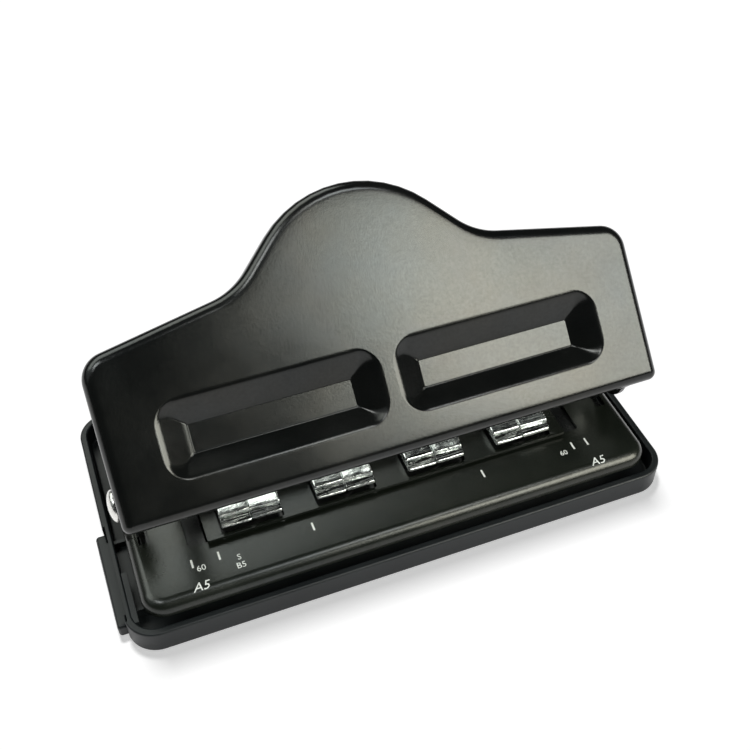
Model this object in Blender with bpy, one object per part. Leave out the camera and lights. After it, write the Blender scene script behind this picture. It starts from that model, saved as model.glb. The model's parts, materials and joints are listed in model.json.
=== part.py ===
"""Four-head hole punch for disc-bound notebooks.

Frame: metres, +Z up, +X along the row of punches (to the right when facing
the paper entry), +Y towards the back.  The origin is on the table, below the
middle of the row of punch heads.
"""
import math

import bmesh
import bpy
from mathutils import Matrix

MM = 0.001

# ---------------------------------------------------------------- dimensions
GAP = 0.3                      # clearance between neighbouring pieces
PITCH = 25.4                   # spacing of the punched holes
PUNCH_X = [(i - 1.5) * PITCH for i in range(4)]

# base pan (bottom moulding)
PAN_X = 74.9
PAN_FRONT, PAN_BACK = -19.1, 58.0
PAN_HEIGHT, PAN_WALL, PAN_FLOOR = 7.5, 2.0, 1.6
PAN_CORNER = 8.0
SIDE_POCKET_X = -74.1          # the left wall steps in beside the drawer handle
SIDE_POCKET_Y = (-12.6, 17.6)

# chip drawer
DRAWER_X = (-75.0, 56.0)
DRAWER_Y = (-9.0, 14.0)
DRAWER_Z = (2.0, 5.0)
DRAWER_WALL = 1.0
HANDLE_X = (-77.2, -74.4)
HANDLE_Y = (-12.2, 17.2)
HANDLE_Z = (0.8, 5.0)

# deck cover (pressed sheet)
DECK_X = 69.8
DECK_FRONT, DECK_BACK = -16.2, 50.0
DECK_TOP, DECK_LOW, DECK_SHEET = 13.4, 9.4, 1.0
DECK_CORNER, DECK_BEND = 6.0, 3.0
WINDOW_X = 55.3
WINDOW_Y = (-1.2, 21.0)
SLOT_X = (64.1, 66.8)
SLOT_Y = (4.0, 25.5)
SCREW_AT = [(x, y) for x in (-45.0, 45.0) for y in (26.0, 40.0)]

# hinge frame (folded steel channel with two ears)
FRAME_X, FRAME_Y = 66.2, (-11.0, 43.1)
FRAME_TOP, FRAME_SHEET = 12.1, 1.2
FRAME_FOOT = 1.9
EAR_X = (64.7, 66.2)
EAR_R = 7.0
HINGE_Y, HINGE_Z = 9.0, 25.0

# punching unit
DIE_Z = (12.4, 13.2)
DIE_STOP = 13.5                # raised rear edge that stops the paper
DIE_X, DIE_Y = 49.0, (-0.9, 10.9)
DIE_STOP_Y = 9.0
BAR_X, BAR_Y, BAR_Z = 50.3, (-2.3, 12.0), (14.2, 15.0)
BAR_SHEET = 0.8
OPENING_X, OPENING_Y = 8.3, (-1.4, 10.8)
HEAD_X = 7.95
HEAD_PROFILE = [(-1.0, 16.5), (-1.0, 17.3), (1.25, 17.9), (1.4, 17.4), (1.6, 18.7),
                (3.2, 19.0), (11.2, 19.2), (12.0, 19.75), (19.0, 19.75),
                (19.0, 18.4), (10.4, 18.4), (10.4, 16.5)]
CAP_R, CAP_Y = 3.7, 4.7        # rounded cap of the T-shaped cutter
STEM_X, STEM_END = 1.1, 9.4
PIN_Z = (14.3, 17.3)
SPRING_Y, SPRING_R, SPRING_WIRE, SPRING_TURNS = 15.6, 2.1, 0.3, 4.0
SPRING_Z = (12.4, 18.1)

# lever (drawn flat: x across, y from its front edge, z out of the sheet)
TILT = 0.80                    # raised angle at rest, radians
LEVER_SHEET, LEVER_EDGE_R = 1.2, 2.8
LEVER_TOP, LEVER_LOW = 2.5, -3.0
LEVER_OUTLINE = [(69.0, 0.0, 2.2), (69.0, 40.5, 6.5), (30.9, 47.7, 18.0), (0.0, 78.6, 29.0),
                 (-30.9, 47.7, 18.0), (-69.0, 40.5, 6.5), (-69.0, 0.0, 2.2)]
HINGE_V, HINGE_N = 4.7, -23.3  # hinge axis in the lever's own drawing
RECESS_OUT = (1.5, 56.3, 8.2, 27.6)
RECESS_FLOOR = (8.9, 48.8, 14.1, 20.5)
RECESS_DEPTH = 4.0
CHEEK_X = (67.8, 69.0)
LUG_R = 9.2
PRESS_Y, PRESS_Z, PRESS_R = 16.0, 24.0, 3.9
PRESS_X = 56.0
ARM_X = 5.0                    # width of each arm of the press bracket

# hinge rivets and washers
RIVET_R, BORE_R = 2.5, 2.6
RIVET_HEAD_R, RIVET_HEAD_H = 4.3, 2.2
WASHER_R, WASHER_X = 4.6, (66.5, 67.5)


# ----------------------------------------------------------------- materials
def material(name, colour, rough, metal):
    mat = bpy.data.materials.new(name)
    mat.use_nodes = True
    shader = mat.node_tree.nodes["Principled BSDF"]
    shader.inputs["Base Color"].default_value = (*colour, 1.0)
    shader.inputs["Roughness"].default_value = rough
    shader.inputs["Metallic"].default_value = metal
    mat.diffuse_color = (*colour, 1.0)
    return mat


# ------------------------------------------------------------------- helpers
def rounded(corners, grow=0.0, arc=6):
    """Closed outline with filleted corners, offset outwards by grow."""
    count = len(corners)
    pts = [(c[0], c[1]) for c in corners]
    area = sum(pts[i][0] * pts[(i + 1) % count][1] - pts[(i + 1) % count][0] * pts[i][1]
               for i in range(count))
    turn = 1.0 if area > 0 else -1.0
    outline = []
    for i, (cx, cy, radius) in enumerate(corners):
        px, py = pts[i - 1]
        nx, ny = pts[(i + 1) % count]
        in_len = math.hypot(cx - px, cy - py)
        out_len = math.hypot(nx - cx, ny - cy)
        ax, ay = (cx - px) / in_len, (cy - py) / in_len
        bx, by = (nx - cx) / out_len, (ny - cy) / out_len
        cross = (ax * by - ay * bx) * turn
        bend = math.atan2(abs(cross), ax * bx + ay * by)
        # the offset corner lies on the bisector of the two edge normals
        mx, my = (ay + by) * turn, (-ax - bx) * turn
        scale = grow / (1.0 + ax * bx + ay * by)
        vx, vy = cx + mx * scale, cy + my * scale
        convex = cross > 0
        fillet = max(radius + (grow if convex else -grow), 0.05)
        trim = fillet * math.tan(bend / 2)
        sx, sy = vx - ax * trim, vy - ay * trim
        side = 1.0 if (ax * by - ay * bx) > 0 else -1.0
        ox, oy = sx - ay * fillet * side, sy + ax * fillet * side
        start = math.atan2(sy - oy, sx - ox)
        for k in range(arc + 1):
            angle = start + side * bend * k / arc
            outline.append((ox + fillet * math.cos(angle), oy + fillet * math.sin(angle)))
    if turn < 0:
        outline.reverse()
    return outline


def rectangle(x0, x1, y0, y1, radius):
    return [(x0, y0, radius), (x1, y0, radius), (x1, y1, radius), (x0, y1, radius)]


def loft(rings):
    """Closed solid through rings of 3-D points, all with the same count."""
    bm = bmesh.new()
    rows = [[bm.verts.new([c * MM for c in p]) for p in ring] for ring in rings]
    count = len(rows[0])
    bm.faces.new(list(reversed(rows[0])))
    bm.faces.new(rows[-1])
    for low, high in zip(rows, rows[1:]):
        for i in range(count):
            j = (i + 1) % count
            bm.faces.new((low[i], low[j], high[j], high[i]))
    bmesh.ops.recalc_face_normals(bm, faces=bm.faces)
    return bm


def prism(outline, low, high):
    return loft([[(x, y, z) for x, y in outline] for z in (low, high)])


def side_prism(profile, x0, x1):
    """Solid whose (y, z) profile runs along X."""
    return loft([[(x, y, z) for y, z in profile] for x in (x0, x1)])


def box(x0, x1, y0, y1, z0, z1):
    return prism([(x0, y0), (x1, y0), (x1, y1), (x0, y1)], z0, z1)


def circle(radius, count, cx=0.0, cy=0.0):
    return [(cx + radius * math.cos(2 * math.pi * k / count),
             cy + radius * math.sin(2 * math.pi * k / count)) for k in range(count)]


def turned(profile, count):
    """Solid of revolution about X; profile lists (x, radius), ends closed."""
    return loft([[(x, y, z) for y, z in circle(r, count)] for x, r in profile])


def upright(profile, count, cx, cy):
    """Solid of revolution about a vertical axis; profile lists (z, radius)."""
    return loft([[(x, y, z) for x, y in circle(r, count, cx, cy)] for z, r in profile])


def bevel_all(bm, width, segments=1):
    bmesh.ops.bevel(bm, geom=bm.edges[:], offset=width * MM, segments=segments,
                    profile=0.5, affect="EDGES")
    return bm


def raw_object(name, bm):
    mesh = bpy.data.meshes.new(name)
    bm.to_mesh(mesh)
    bm.free()
    obj = bpy.data.objects.new(name, mesh)
    bpy.context.scene.collection.objects.link(obj)
    return obj


def combine(obj, shapes, operation):
    """Apply one Boolean per shape to the object's mesh."""
    for shape in shapes:
        tool = raw_object("tool", shape)
        step = obj.modifiers.new("step", "BOOLEAN")
        step.object = tool
        step.operation = operation
        step.solver = "EXACT"
        graph = bpy.context.evaluated_depsgraph_get()
        result = bpy.data.meshes.new_from_object(obj.evaluated_get(graph))
        obj.modifiers.remove(step)
        obj.data = result
        bpy.data.objects.remove(tool)
    return obj


def piece(name, bm, mat, add=(), cut=(), parent=None, smooth=30.0):
    """Named object from a solid, with unions and then cuts applied."""
    obj = raw_object(name, bm)
    combine(obj, add, "UNION")
    combine(obj, cut, "DIFFERENCE")
    tidy = bmesh.new()
    tidy.from_mesh(obj.data)
    bmesh.ops.remove_doubles(tidy, verts=tidy.verts, dist=0.00001)
    bmesh.ops.dissolve_limit(tidy, angle_limit=0.002, verts=tidy.verts, edges=tidy.edges)
    bmesh.ops.triangulate(tidy, faces=tidy.faces)
    tidy.to_mesh(obj.data)
    tidy.free()
    obj.data.name = name
    obj.data.materials.clear()
    obj.data.materials.append(mat)
    obj.data.shade_smooth()
    obj.data.set_sharp_from_angle(angle=math.radians(smooth))
    obj.parent = parent
    return obj


def pivot(name, x, y, z, tilt=0.0):
    empty = bpy.data.objects.new(name, None)
    empty.location = (x * MM, y * MM, z * MM)
    empty.rotation_euler = (tilt, 0.0, 0.0)
    bpy.context.scene.collection.objects.link(empty)
    return empty


def shift(bm, x=0.0, y=0.0, z=0.0):
    bmesh.ops.translate(bm, verts=bm.verts, vec=(x * MM, y * MM, z * MM))
    return bm


# ------------------------------------------------------------ the fixed base
def base_pan(mat):
    """Shallow moulded pan; the drawer passes through its left wall."""
    corners = rectangle(-PAN_X, PAN_X, PAN_FRONT, PAN_BACK, PAN_CORNER)
    levels = [(0.0, -0.7), (0.7, 0.0), (PAN_HEIGHT - 0.4, 0.0), (PAN_HEIGHT, -0.4)]
    outer = loft([[(x, y, z) for x, y in rounded(corners, grow)] for z, grow in levels])
    inner = prism(rounded(corners, -PAN_WALL), PAN_FLOOR, PAN_HEIGHT + 5)
    pocket = box(-PAN_X - 5, SIDE_POCKET_X, *SIDE_POCKET_Y, -5, PAN_HEIGHT + 5)
    mouth = box(-PAN_X - 5, -PAN_X + 6, DRAWER_Y[0] - GAP, DRAWER_Y[1] + GAP,
                DRAWER_Z[0] - GAP, DRAWER_Z[1] + GAP)
    rib = box(-PAN_X + PAN_WALL - 0.5, -70.9, -13.6, 1.8, 5.6, 7.2)
    pan = raw_object("pan", outer)
    combine(pan, [inner, pocket, mouth], "DIFFERENCE")
    shell = bmesh.new()
    shell.from_mesh(pan.data)
    bpy.data.objects.remove(pan)
    return piece("base_pan", shell, mat, add=[rib])


def deck_cover(mat):
    """Pressed sheet cover with soft edges, window, ear slots and screw holes."""
    corners = rectangle(-DECK_X, DECK_X, DECK_FRONT, DECK_BACK, DECK_CORNER)
    steps = 4

    def shell(top, bend, inset, low):
        rings = [(low, -inset)]
        for k in range(steps + 1):
            angle = math.pi / 2 * k / steps
            rings.append((top - bend + bend * math.sin(angle),
                          -inset - bend * (1 - math.cos(angle))))
        return loft([[(x, y, z) for x, y in rounded(corners, grow, 5)] for z, grow in rings])

    outer = shell(DECK_TOP, DECK_BEND, 0.0, DECK_LOW)
    inner = shell(DECK_TOP - DECK_SHEET, DECK_BEND - DECK_SHEET, DECK_SHEET, DECK_LOW - 3)
    cuts = [inner, box(-WINDOW_X, WINDOW_X, *WINDOW_Y, 5, 20)]
    for side in (-1, 1):
        x0, x1 = sorted((side * SLOT_X[0], side * SLOT_X[1]))
        cuts.append(box(x0, x1, *SLOT_Y, 5, 20))
    cuts += [prism(circle(1.7, 16, x, y), 5, 20) for x, y in SCREW_AT]
    return piece("deck_cover", outer, mat, cut=cuts)


def hinge_frame(mat):
    """Folded channel: plate, two legs and two ears that carry the hinge."""
    low = FRAME_TOP - FRAME_SHEET
    plate = box(-FRAME_X, FRAME_X, *FRAME_Y, low, FRAME_TOP)
    legs = [box(-60, 60, FRAME_Y[0], FRAME_Y[0] + FRAME_SHEET, FRAME_FOOT, low + 0.5),
            box(-60, 60, FRAME_Y[1] - FRAME_SHEET, FRAME_Y[1], FRAME_FOOT, low + 0.5)]
    ear = [(24.5, low + 0.3), (24.5, 16.0)]
    for k in range(13):
        angle = math.radians(30 + 180 * k / 12)
        ear.append((HINGE_Y + EAR_R * math.cos(angle), HINGE_Z + EAR_R * math.sin(angle)))
    ear.append((8.5, low + 0.3))
    cuts = []
    for side in (-1, 1):
        x0, x1 = sorted((side * EAR_X[0], side * EAR_X[1]))
        legs.append(side_prism(ear, x0, x1))
        cuts.append(shift(turned([(-80 if side < 0 else 50, BORE_R),
                                  (-50 if side < 0 else 80, BORE_R)], 24),
                          0, HINGE_Y, HINGE_Z))
        c0, c1 = sorted((side * 49.2, side * 50.7))
        cuts.append(box(c0, c1, -1.8, 12.6, 5, 20))
    cuts += [box(x - 5.2, x + 5.2, 0.0, 10.4, 5, 20) for x in PUNCH_X]
    cuts += [prism(circle(1.7, 16, x, y), 5, 20) for x, y in SCREW_AT]
    return piece("hinge_frame", plate, mat, add=legs, cut=cuts)


def cutter_outline(grow, stem_end):
    """T shape with a half-round cap, as seen from above, centred on x = 0."""
    radius = CAP_R + grow
    flat = CAP_Y + grow
    lift = math.asin(grow / radius)
    points = [(STEM_X + grow, stem_end), (STEM_X + grow, flat)]
    for k in range(13):
        angle = lift - (math.pi + 2 * lift) * k / 12
        points.append((radius * math.cos(angle), CAP_Y + radius * math.sin(angle)))
    points += [(-STEM_X - grow, flat), (-STEM_X - grow, stem_end)]
    return points


def die_plate(mat):
    """Lower die: strip with four T-shaped holes and a raised rear edge."""
    plate = side_prism([(DIE_Y[0], DIE_Z[0]), (DIE_Y[0], DIE_Z[1]), (DIE_STOP_Y, DIE_Z[1]),
                        (DIE_STOP_Y, DIE_STOP), (DIE_Y[1], DIE_STOP), (DIE_Y[1], DIE_Z[0])],
                       -DIE_X, DIE_X)
    cuts = [shift(prism(cutter_outline(0.12, STEM_END + 0.2), 10, 20), x) for x in PUNCH_X]
    return piece("die_plate", plate, mat, cut=cuts)


def guide_bar(mat):
    """Raised strip over the paper entry; each head slides in its opening."""
    top = box(-BAR_X, BAR_X, *BAR_Y, *BAR_Z)
    flanges = [box(-BAR_X, BAR_X, BAR_Y[1] - BAR_SHEET, BAR_Y[1], DIE_Z[0], BAR_Z[0] + 0.4)]
    for side in (-1, 1):
        x0, x1 = sorted((side * (BAR_X - BAR_SHEET), side * BAR_X))
        flanges.append(box(x0, x1, -1.0, BAR_Y[1], DECK_LOW, BAR_Z[0] + 0.4))
    cuts = [box(x - OPENING_X, x + OPENING_X, *OPENING_Y, 14.0, 20) for x in PUNCH_X]
    return piece("guide_bar", top, mat, add=flanges, cut=cuts)


def screws(mat):
    for number, (x, y) in enumerate(SCREW_AT, 1):
        low = DECK_TOP + GAP
        profile = [(8.6, 1.1), (9.0, 1.4), (low, 1.4), (low, 2.7), (low + 0.9, 2.7),
                   (low + 1.5, 2.1), (low + 1.7, 1.2)]
        body = upright(profile, 20, x, y)
        slot = box(x - 3, x + 3, y - 0.35, y + 0.35, low + 0.9, low + 3)
        piece(f"deck_screw_{number}", body, mat, cut=[slot])


# ------------------------------------------------------------------ punches
def punches(head_mat, pin_mat, spring_mat):
    for number, x in enumerate(PUNCH_X, 1):
        axis = pivot(f"punch_axis_{number}", x, 0.0, 0.0)
        head = side_prism(HEAD_PROFILE, -HEAD_X, HEAD_X)
        hollow = box(-6.7, 6.7, 0.4, 9.8, 10, 17.6)
        piece(f"punch_head_{number}", head, head_mat, cut=[hollow], parent=axis)
        pin = prism(cutter_outline(0.0, STEM_END), *PIN_Z)
        piece(f"punch_pin_{number}", pin, pin_mat, parent=axis)
        piece(f"return_spring_{number}", spring(x), spring_mat, smooth=60)


def spring(x):
    """Open coil of round wire with square-cut ends."""
    per_turn, sides = 16, 6
    total = int(SPRING_TURNS * per_turn)
    low, high = SPRING_Z[0] + SPRING_WIRE, SPRING_Z[1] - SPRING_WIRE
    rings = []
    for k in range(total + 1):
        turn = 2 * math.pi * k / per_turn
        height = low + (high - low) * k / total
        ring = []
        for s in range(sides):
            a = 2 * math.pi * s / sides
            r = SPRING_R + SPRING_WIRE * math.cos(a)
            ring.append((x + r * math.cos(turn), SPRING_Y + r * math.sin(turn),
                         height + SPRING_WIRE * math.sin(a)))
        rings.append(ring)
    return loft(rings)


# -------------------------------------------------------------------- lever
def lever_shell():
    """Filled outer form of the lever plate with its rounded rim."""
    def form(top, edge, inset, low):
        rings = [(low, -inset)]
        for k in range(5):
            angle = math.pi / 2 * k / 4
            rings.append((top - edge + edge * math.sin(angle),
                          -inset - edge * (1 - math.cos(angle))))
        return loft([[(x, y, z) for x, y in rounded(LEVER_OUTLINE, grow, 8)]
                     for z, grow in rings])

    outer = form(LEVER_TOP, LEVER_EDGE_R, 0.0, LEVER_LOW)
    inner = form(LEVER_TOP - LEVER_SHEET, LEVER_EDGE_R - LEVER_SHEET, LEVER_SHEET,
                 LEVER_LOW - 3)
    return outer, inner


def recess(side, grow, top):
    """Tapered pocket; grow adds the sheet thickness around it."""
    def ring(limits, radius, z, extra):
        x0, x1, y0, y1 = limits
        x0, x1 = sorted((side * x0, side * x1))
        return [(x, y, z) for x, y in rounded(rectangle(x0, x1, y0, y1, radius), extra, 4)]

    floor = LEVER_TOP - RECESS_DEPTH - grow
    return loft([ring(RECESS_FLOOR, 0.6, floor, grow * 0.7),
                 ring(RECESS_OUT, 5.0, top, grow * 0.7)])


def cheek_profile():
    """Side wall from the plate's flange down to the rounded hinge lug."""
    low = LEVER_LOW + 0.8
    points = [(0.3, low), (30.0, low)]
    for k in range(15):
        angle = math.radians(20 - 235 * k / 14)
        points.append((HINGE_V + LUG_R * math.cos(angle), HINGE_N + LUG_R * math.sin(angle)))
    return points


def lever(paint, steel):
    hinge = pivot("lever_hinge", 0.0, HINGE_Y, HINGE_Z, TILT)
    outer, inner = lever_shell()
    adds, cuts = [], []
    for side in (-1, 1):
        adds.append(recess(side, LEVER_SHEET, LEVER_TOP - 0.6))
        x0, x1 = sorted((side * CHEEK_X[0], side * CHEEK_X[1]))
        adds.append(side_prism(cheek_profile(), x0, x1))
        cuts.append(recess(side, 0.0, LEVER_TOP))
        cuts.append(shift(turned([(x0 - 3, BORE_R), (x1 + 3, BORE_R)], 24),
                          0, HINGE_V, HINGE_N))
    plate = raw_object("shell", outer)
    combine(plate, [inner], "DIFFERENCE")
    shell = bmesh.new()
    shell.from_mesh(plate.data)
    bpy.data.objects.remove(plate)
    body = piece("lever_plate", shell, paint, add=adds, cut=cuts, parent=hinge)

    # bracket that carries the press bar: a strip under the plate with an arm at each end
    rel_y, rel_z = PRESS_Y - HINGE_Y, PRESS_Z - HINGE_Z
    press_v = HINGE_V + rel_y * math.cos(TILT) + rel_z * math.sin(TILT)
    press_n = HINGE_N - rel_y * math.sin(TILT) + rel_z * math.cos(TILT)
    top = LEVER_TOP - LEVER_SHEET - GAP
    bar_top = press_n + PRESS_R + GAP + 0.1
    strip = side_prism([(2.0, top), (7.4, top), (7.4, top - 1.2), (2.0, top - 1.2)],
                       -PRESS_X, PRESS_X)
    arm = [(7.4, top - 0.6), (press_v - 0.3, -6.0), (press_v + 0.6, bar_top),
           (press_v - 0.6, bar_top), (press_v - 1.5, -6.0), (6.0, top - 0.6)]
    arms = [side_prism(arm, -PRESS_X, ARM_X - PRESS_X), side_prism(arm, PRESS_X - ARM_X, PRESS_X)]
    bracket = piece("press_bracket", strip, steel, add=arms, parent=hinge)
    rod = shift(turned([(-PRESS_X, PRESS_R - 0.5), (-PRESS_X + 0.5, PRESS_R),
                        (PRESS_X - 0.5, PRESS_R), (PRESS_X, PRESS_R - 0.5)], 32),
                0, press_v, press_n)
    bar = piece("press_bar", rod, steel, parent=hinge)
    for obj in (body, bracket, bar):
        obj.data.transform(Matrix.Translation((0, -HINGE_V * MM, -HINGE_N * MM)))


def hinge_hardware(steel, washer_mat):
    for side, word in ((-1, "left"), (1, "right")):
        seat = CHEEK_X[1] + GAP
        profile = [(-(EAR_X[0] - 1.5), 2.6), (-(EAR_X[0] - 1.2), 3.5), (-(EAR_X[0] - GAP), 3.5),
                   (-(EAR_X[0] - GAP), RIVET_R), (-seat, RIVET_R), (-seat, RIVET_HEAD_R)]
        for k in range(1, 6):
            angle = math.pi / 2 * k / 5.6
            profile.append((-(seat + 0.4 + (RIVET_HEAD_H - 0.4) * math.sin(angle)),
                            RIVET_HEAD_R * math.cos(angle)))
        body = turned([(-side * x, r) for x, r in profile], 32)
        piece(f"hinge_rivet_{word}", shift(body, 0, HINGE_Y, HINGE_Z), steel)
        x0, x1 = sorted((side * WASHER_X[0], side * WASHER_X[1]))
        ring = turned([(x0, WASHER_R), (x1, WASHER_R)], 28)
        hole = turned([(x0 - 1, BORE_R), (x1 + 1, BORE_R)], 28)
        piece(f"hinge_washer_{word}", shift(ring, 0, HINGE_Y, HINGE_Z), washer_mat,
              cut=[shift(hole, 0, HINGE_Y, HINGE_Z)])


# ------------------------------------------------------------------- drawer
def chip_drawer(mat):
    """Slim open tray under the dies, with a plate at its left end as handle."""
    handle = bevel_all(box(*HANDLE_X, *HANDLE_Y, *HANDLE_Z), 0.7, 2)
    tray = box(*DRAWER_X, *DRAWER_Y, *DRAWER_Z)
    hollow = box(-73.0, DRAWER_X[1] - DRAWER_WALL, DRAWER_Y[0] + DRAWER_WALL,
                 DRAWER_Y[1] - DRAWER_WALL, DRAWER_Z[0] + DRAWER_WALL, 9)
    piece("chip_drawer", handle, mat, add=[tray], cut=[hollow])


def main():
    for old in list(bpy.data.objects):
        bpy.data.objects.remove(old, do_unlink=True)
    paint = material("black_satin_paint", (0.018, 0.019, 0.02), 0.38, 0.0)
    plastic = material("black_plastic", (0.028, 0.031, 0.034), 0.55, 0.0)
    zinc = material("bright_zinc", (0.72, 0.73, 0.72), 0.22, 1.0)
    steel = material("plain_steel", (0.45, 0.45, 0.46), 0.35, 1.0)
    spring_steel = material("spring_steel", (0.55, 0.55, 0.56), 0.3, 1.0)
    nylon = material("washer_nylon", (0.6, 0.6, 0.57), 0.5, 0.0)
    rivet = material("rivet_nickel", (0.75, 0.74, 0.72), 0.25, 1.0)
    dark = material("blackened_steel", (0.04, 0.04, 0.042), 0.45, 0.6)

    base_pan(plastic)
    deck_cover(paint)
    hinge_frame(dark)
    guide_bar(paint)
    die_plate(steel)
    screws(steel)
    punches(zinc, steel, spring_steel)
    lever(paint, steel)
    hinge_hardware(rivet, nylon)
    chip_drawer(plastic)


main()
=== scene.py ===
# %% [markdown]
# # A four-head hole punch for disc-bound notebooks
# This lesson dresses a small office punch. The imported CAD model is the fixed
# frame: it says where every piece is and how it moves. Blender's part is the
# pressed sheet with its soft bends, the bright heads, the springs and the paint.
# The model comes first, because every later cell takes its places from it.

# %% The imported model
import json
import math

import bmesh
import bpy
from mathutils import Matrix, Vector
from mathutils.geometry import delaunay_2d_cdt


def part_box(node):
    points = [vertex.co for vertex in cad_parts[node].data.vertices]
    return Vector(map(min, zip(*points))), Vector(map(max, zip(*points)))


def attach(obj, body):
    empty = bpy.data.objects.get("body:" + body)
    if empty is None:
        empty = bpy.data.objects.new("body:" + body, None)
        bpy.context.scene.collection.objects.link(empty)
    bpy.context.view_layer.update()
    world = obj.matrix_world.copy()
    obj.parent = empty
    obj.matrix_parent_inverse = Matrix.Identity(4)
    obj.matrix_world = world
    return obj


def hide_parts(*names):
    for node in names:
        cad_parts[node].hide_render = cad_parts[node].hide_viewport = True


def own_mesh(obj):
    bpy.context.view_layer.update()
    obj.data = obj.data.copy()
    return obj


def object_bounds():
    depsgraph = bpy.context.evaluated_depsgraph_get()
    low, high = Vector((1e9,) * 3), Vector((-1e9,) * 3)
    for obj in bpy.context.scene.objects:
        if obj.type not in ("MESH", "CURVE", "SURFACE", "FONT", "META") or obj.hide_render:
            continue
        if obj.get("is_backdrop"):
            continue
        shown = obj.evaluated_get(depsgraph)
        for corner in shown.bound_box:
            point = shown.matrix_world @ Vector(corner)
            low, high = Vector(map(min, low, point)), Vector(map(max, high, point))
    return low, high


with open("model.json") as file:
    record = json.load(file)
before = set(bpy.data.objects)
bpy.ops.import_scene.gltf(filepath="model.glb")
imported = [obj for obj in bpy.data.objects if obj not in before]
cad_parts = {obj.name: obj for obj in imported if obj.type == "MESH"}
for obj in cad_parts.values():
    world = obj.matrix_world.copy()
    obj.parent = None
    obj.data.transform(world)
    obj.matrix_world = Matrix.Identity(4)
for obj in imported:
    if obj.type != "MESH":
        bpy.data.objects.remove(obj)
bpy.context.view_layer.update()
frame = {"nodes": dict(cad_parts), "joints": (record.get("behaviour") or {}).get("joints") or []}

MM = 0.001
joints = {joint["name"]: joint for joint in frame["joints"]}

# %% [markdown]
# ## Outlines
# A pressed part starts as a flat blank: straight edges joined by arcs. The
# outline could be a Blender curve, but a short function gives the same number
# of points at every offset, and that lets neighbouring rings be joined by quads.


# %% A filleted outline that can be offset
def outline(corners, grow=0.0, arc=6, least=0.3):
    """Closed outline; a corner is (x, y, radius), and grow offsets it outwards."""
    points = []
    count = len(corners)
    for i, (cx, cy, radius) in enumerate(corners):
        before, after = corners[i - 1], corners[(i + 1) % count]
        a = Vector((cx - before[0], cy - before[1])).normalized()
        b = Vector((after[0] - cx, after[1] - cy)).normalized()
        cross, dot = a.x * b.y - a.y * b.x, a.dot(b)
        bend = math.atan2(abs(cross), dot)
        side = 1.0 if cross > 0 else -1.0
        middle = Vector((a.y + b.y, -a.x - b.x)) * (grow / (1.0 + dot))
        fillet = max(radius + side * grow, least)
        start = Vector((cx, cy)) + middle - a * fillet * math.tan(bend / 2)
        centre = start + Vector((-a.y, a.x)) * fillet * side
        angle = math.atan2(start.y - centre.y, start.x - centre.x)
        for k in range(arc + 1):
            turn = angle + side * bend * k / arc
            points.append((centre.x + fillet * math.cos(turn),
                           centre.y + fillet * math.sin(turn)))
    return points


def rectangle(x0, x1, y0, y1, radius):
    return [(x0, y0, radius), (x1, y0, radius), (x1, y1, radius), (x0, y1, radius)]


def circle(cx, cy, radius, count):
    return [(cx + radius * math.cos(2 * math.pi * k / count),
             cy + radius * math.sin(2 * math.pi * k / count)) for k in range(count)]


def quarter_turn(steps, first=1):
    """Evenly spaced angles of a quarter turn."""
    return [math.pi / 2 * k / steps for k in range(first, steps + 1)]


print("points on a plain rounded rectangle:", len(outline(rectangle(0, 9, 0, 9, 2))))

# %% [markdown]
# ## Skins
# Sheet metal is one surface with a thickness. The surface is collected here as
# rings of points, bridged by quads and filled where it is flat. A constrained
# triangulation fills a flat face with holes and adds no points of its own.


# %% A collector of points and faces
def inside(point, loop):
    hit = False
    for (x0, y0), (x1, y1) in zip(loop, loop[1:] + loop[:1]):
        if (y0 > point[1]) != (y1 > point[1]):
            if point[0] < x0 + (point[1] - y0) * (x1 - x0) / (y1 - y0):
                hit = not hit
    return hit


class Skin:
    """The points and faces of one piece, in millimetres."""

    def __init__(self):
        self.points, self.faces = [], []

    def ring(self, points):
        start = len(self.points)
        self.points += [tuple(p) for p in points]
        return list(range(start, len(self.points)))

    def bridge(self, low, high, skip=()):
        for i in range(len(low)):
            j = (i + 1) % len(low)
            if i not in skip:
                self.faces.append((low[i], low[j], high[j], high[i]))

    def close(self, ring):
        self.faces.append(tuple(ring))

    def loft(self, rings):
        """A closed solid through rings of points."""
        rows = [self.ring(points) for points in rings]
        for low, high in zip(rows, rows[1:]):
            self.bridge(low, high)
        self.close(rows[0])
        self.close(rows[-1])
        return self

    def fill(self, border, holes=(), axes=(0, 1)):
        """Flat face between a border and its holes; axes are its two directions."""
        loops = [border, *holes]
        order = [k for loop in loops for k in loop]
        flat = [Vector([self.points[k][a] for a in axes]) for k in order]
        edges, outlines, start = [], [], 0
        for loop in loops:
            span = len(loop)
            edges += [(start + i, start + (i + 1) % span) for i in range(span)]
            outlines.append([tuple(p) for p in flat[start:start + span]])
            start += span
        spots, _, cells, source, _, _ = delaunay_2d_cdt(flat, edges, [], 0, 1e-6)
        for cell in cells:
            middle = sum((spots[k] for k in cell), Vector((0, 0))) / len(cell)
            if inside(middle, outlines[0]) and not any(inside(middle, o) for o in outlines[1:]):
                self.faces.append(tuple(order[source[k][0]] for k in cell))


# %% [markdown]
# ## From skin to piece
# Each finished piece is a plain mesh at the origin, with its place in its
# points, like a CAD node. Modifiers give a sheet its thickness and break its
# cut edges. They are turned into the mesh before the piece rides on its body.


# %% Helpers that make and finish a piece
WELD = 0.000005
SHARP_ANGLE, FLAT_WEIGHT = 50, 80


def new_object(name, data):
    obj = bpy.data.objects.new(name, data)
    bpy.context.scene.collection.objects.link(obj)
    return obj


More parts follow.
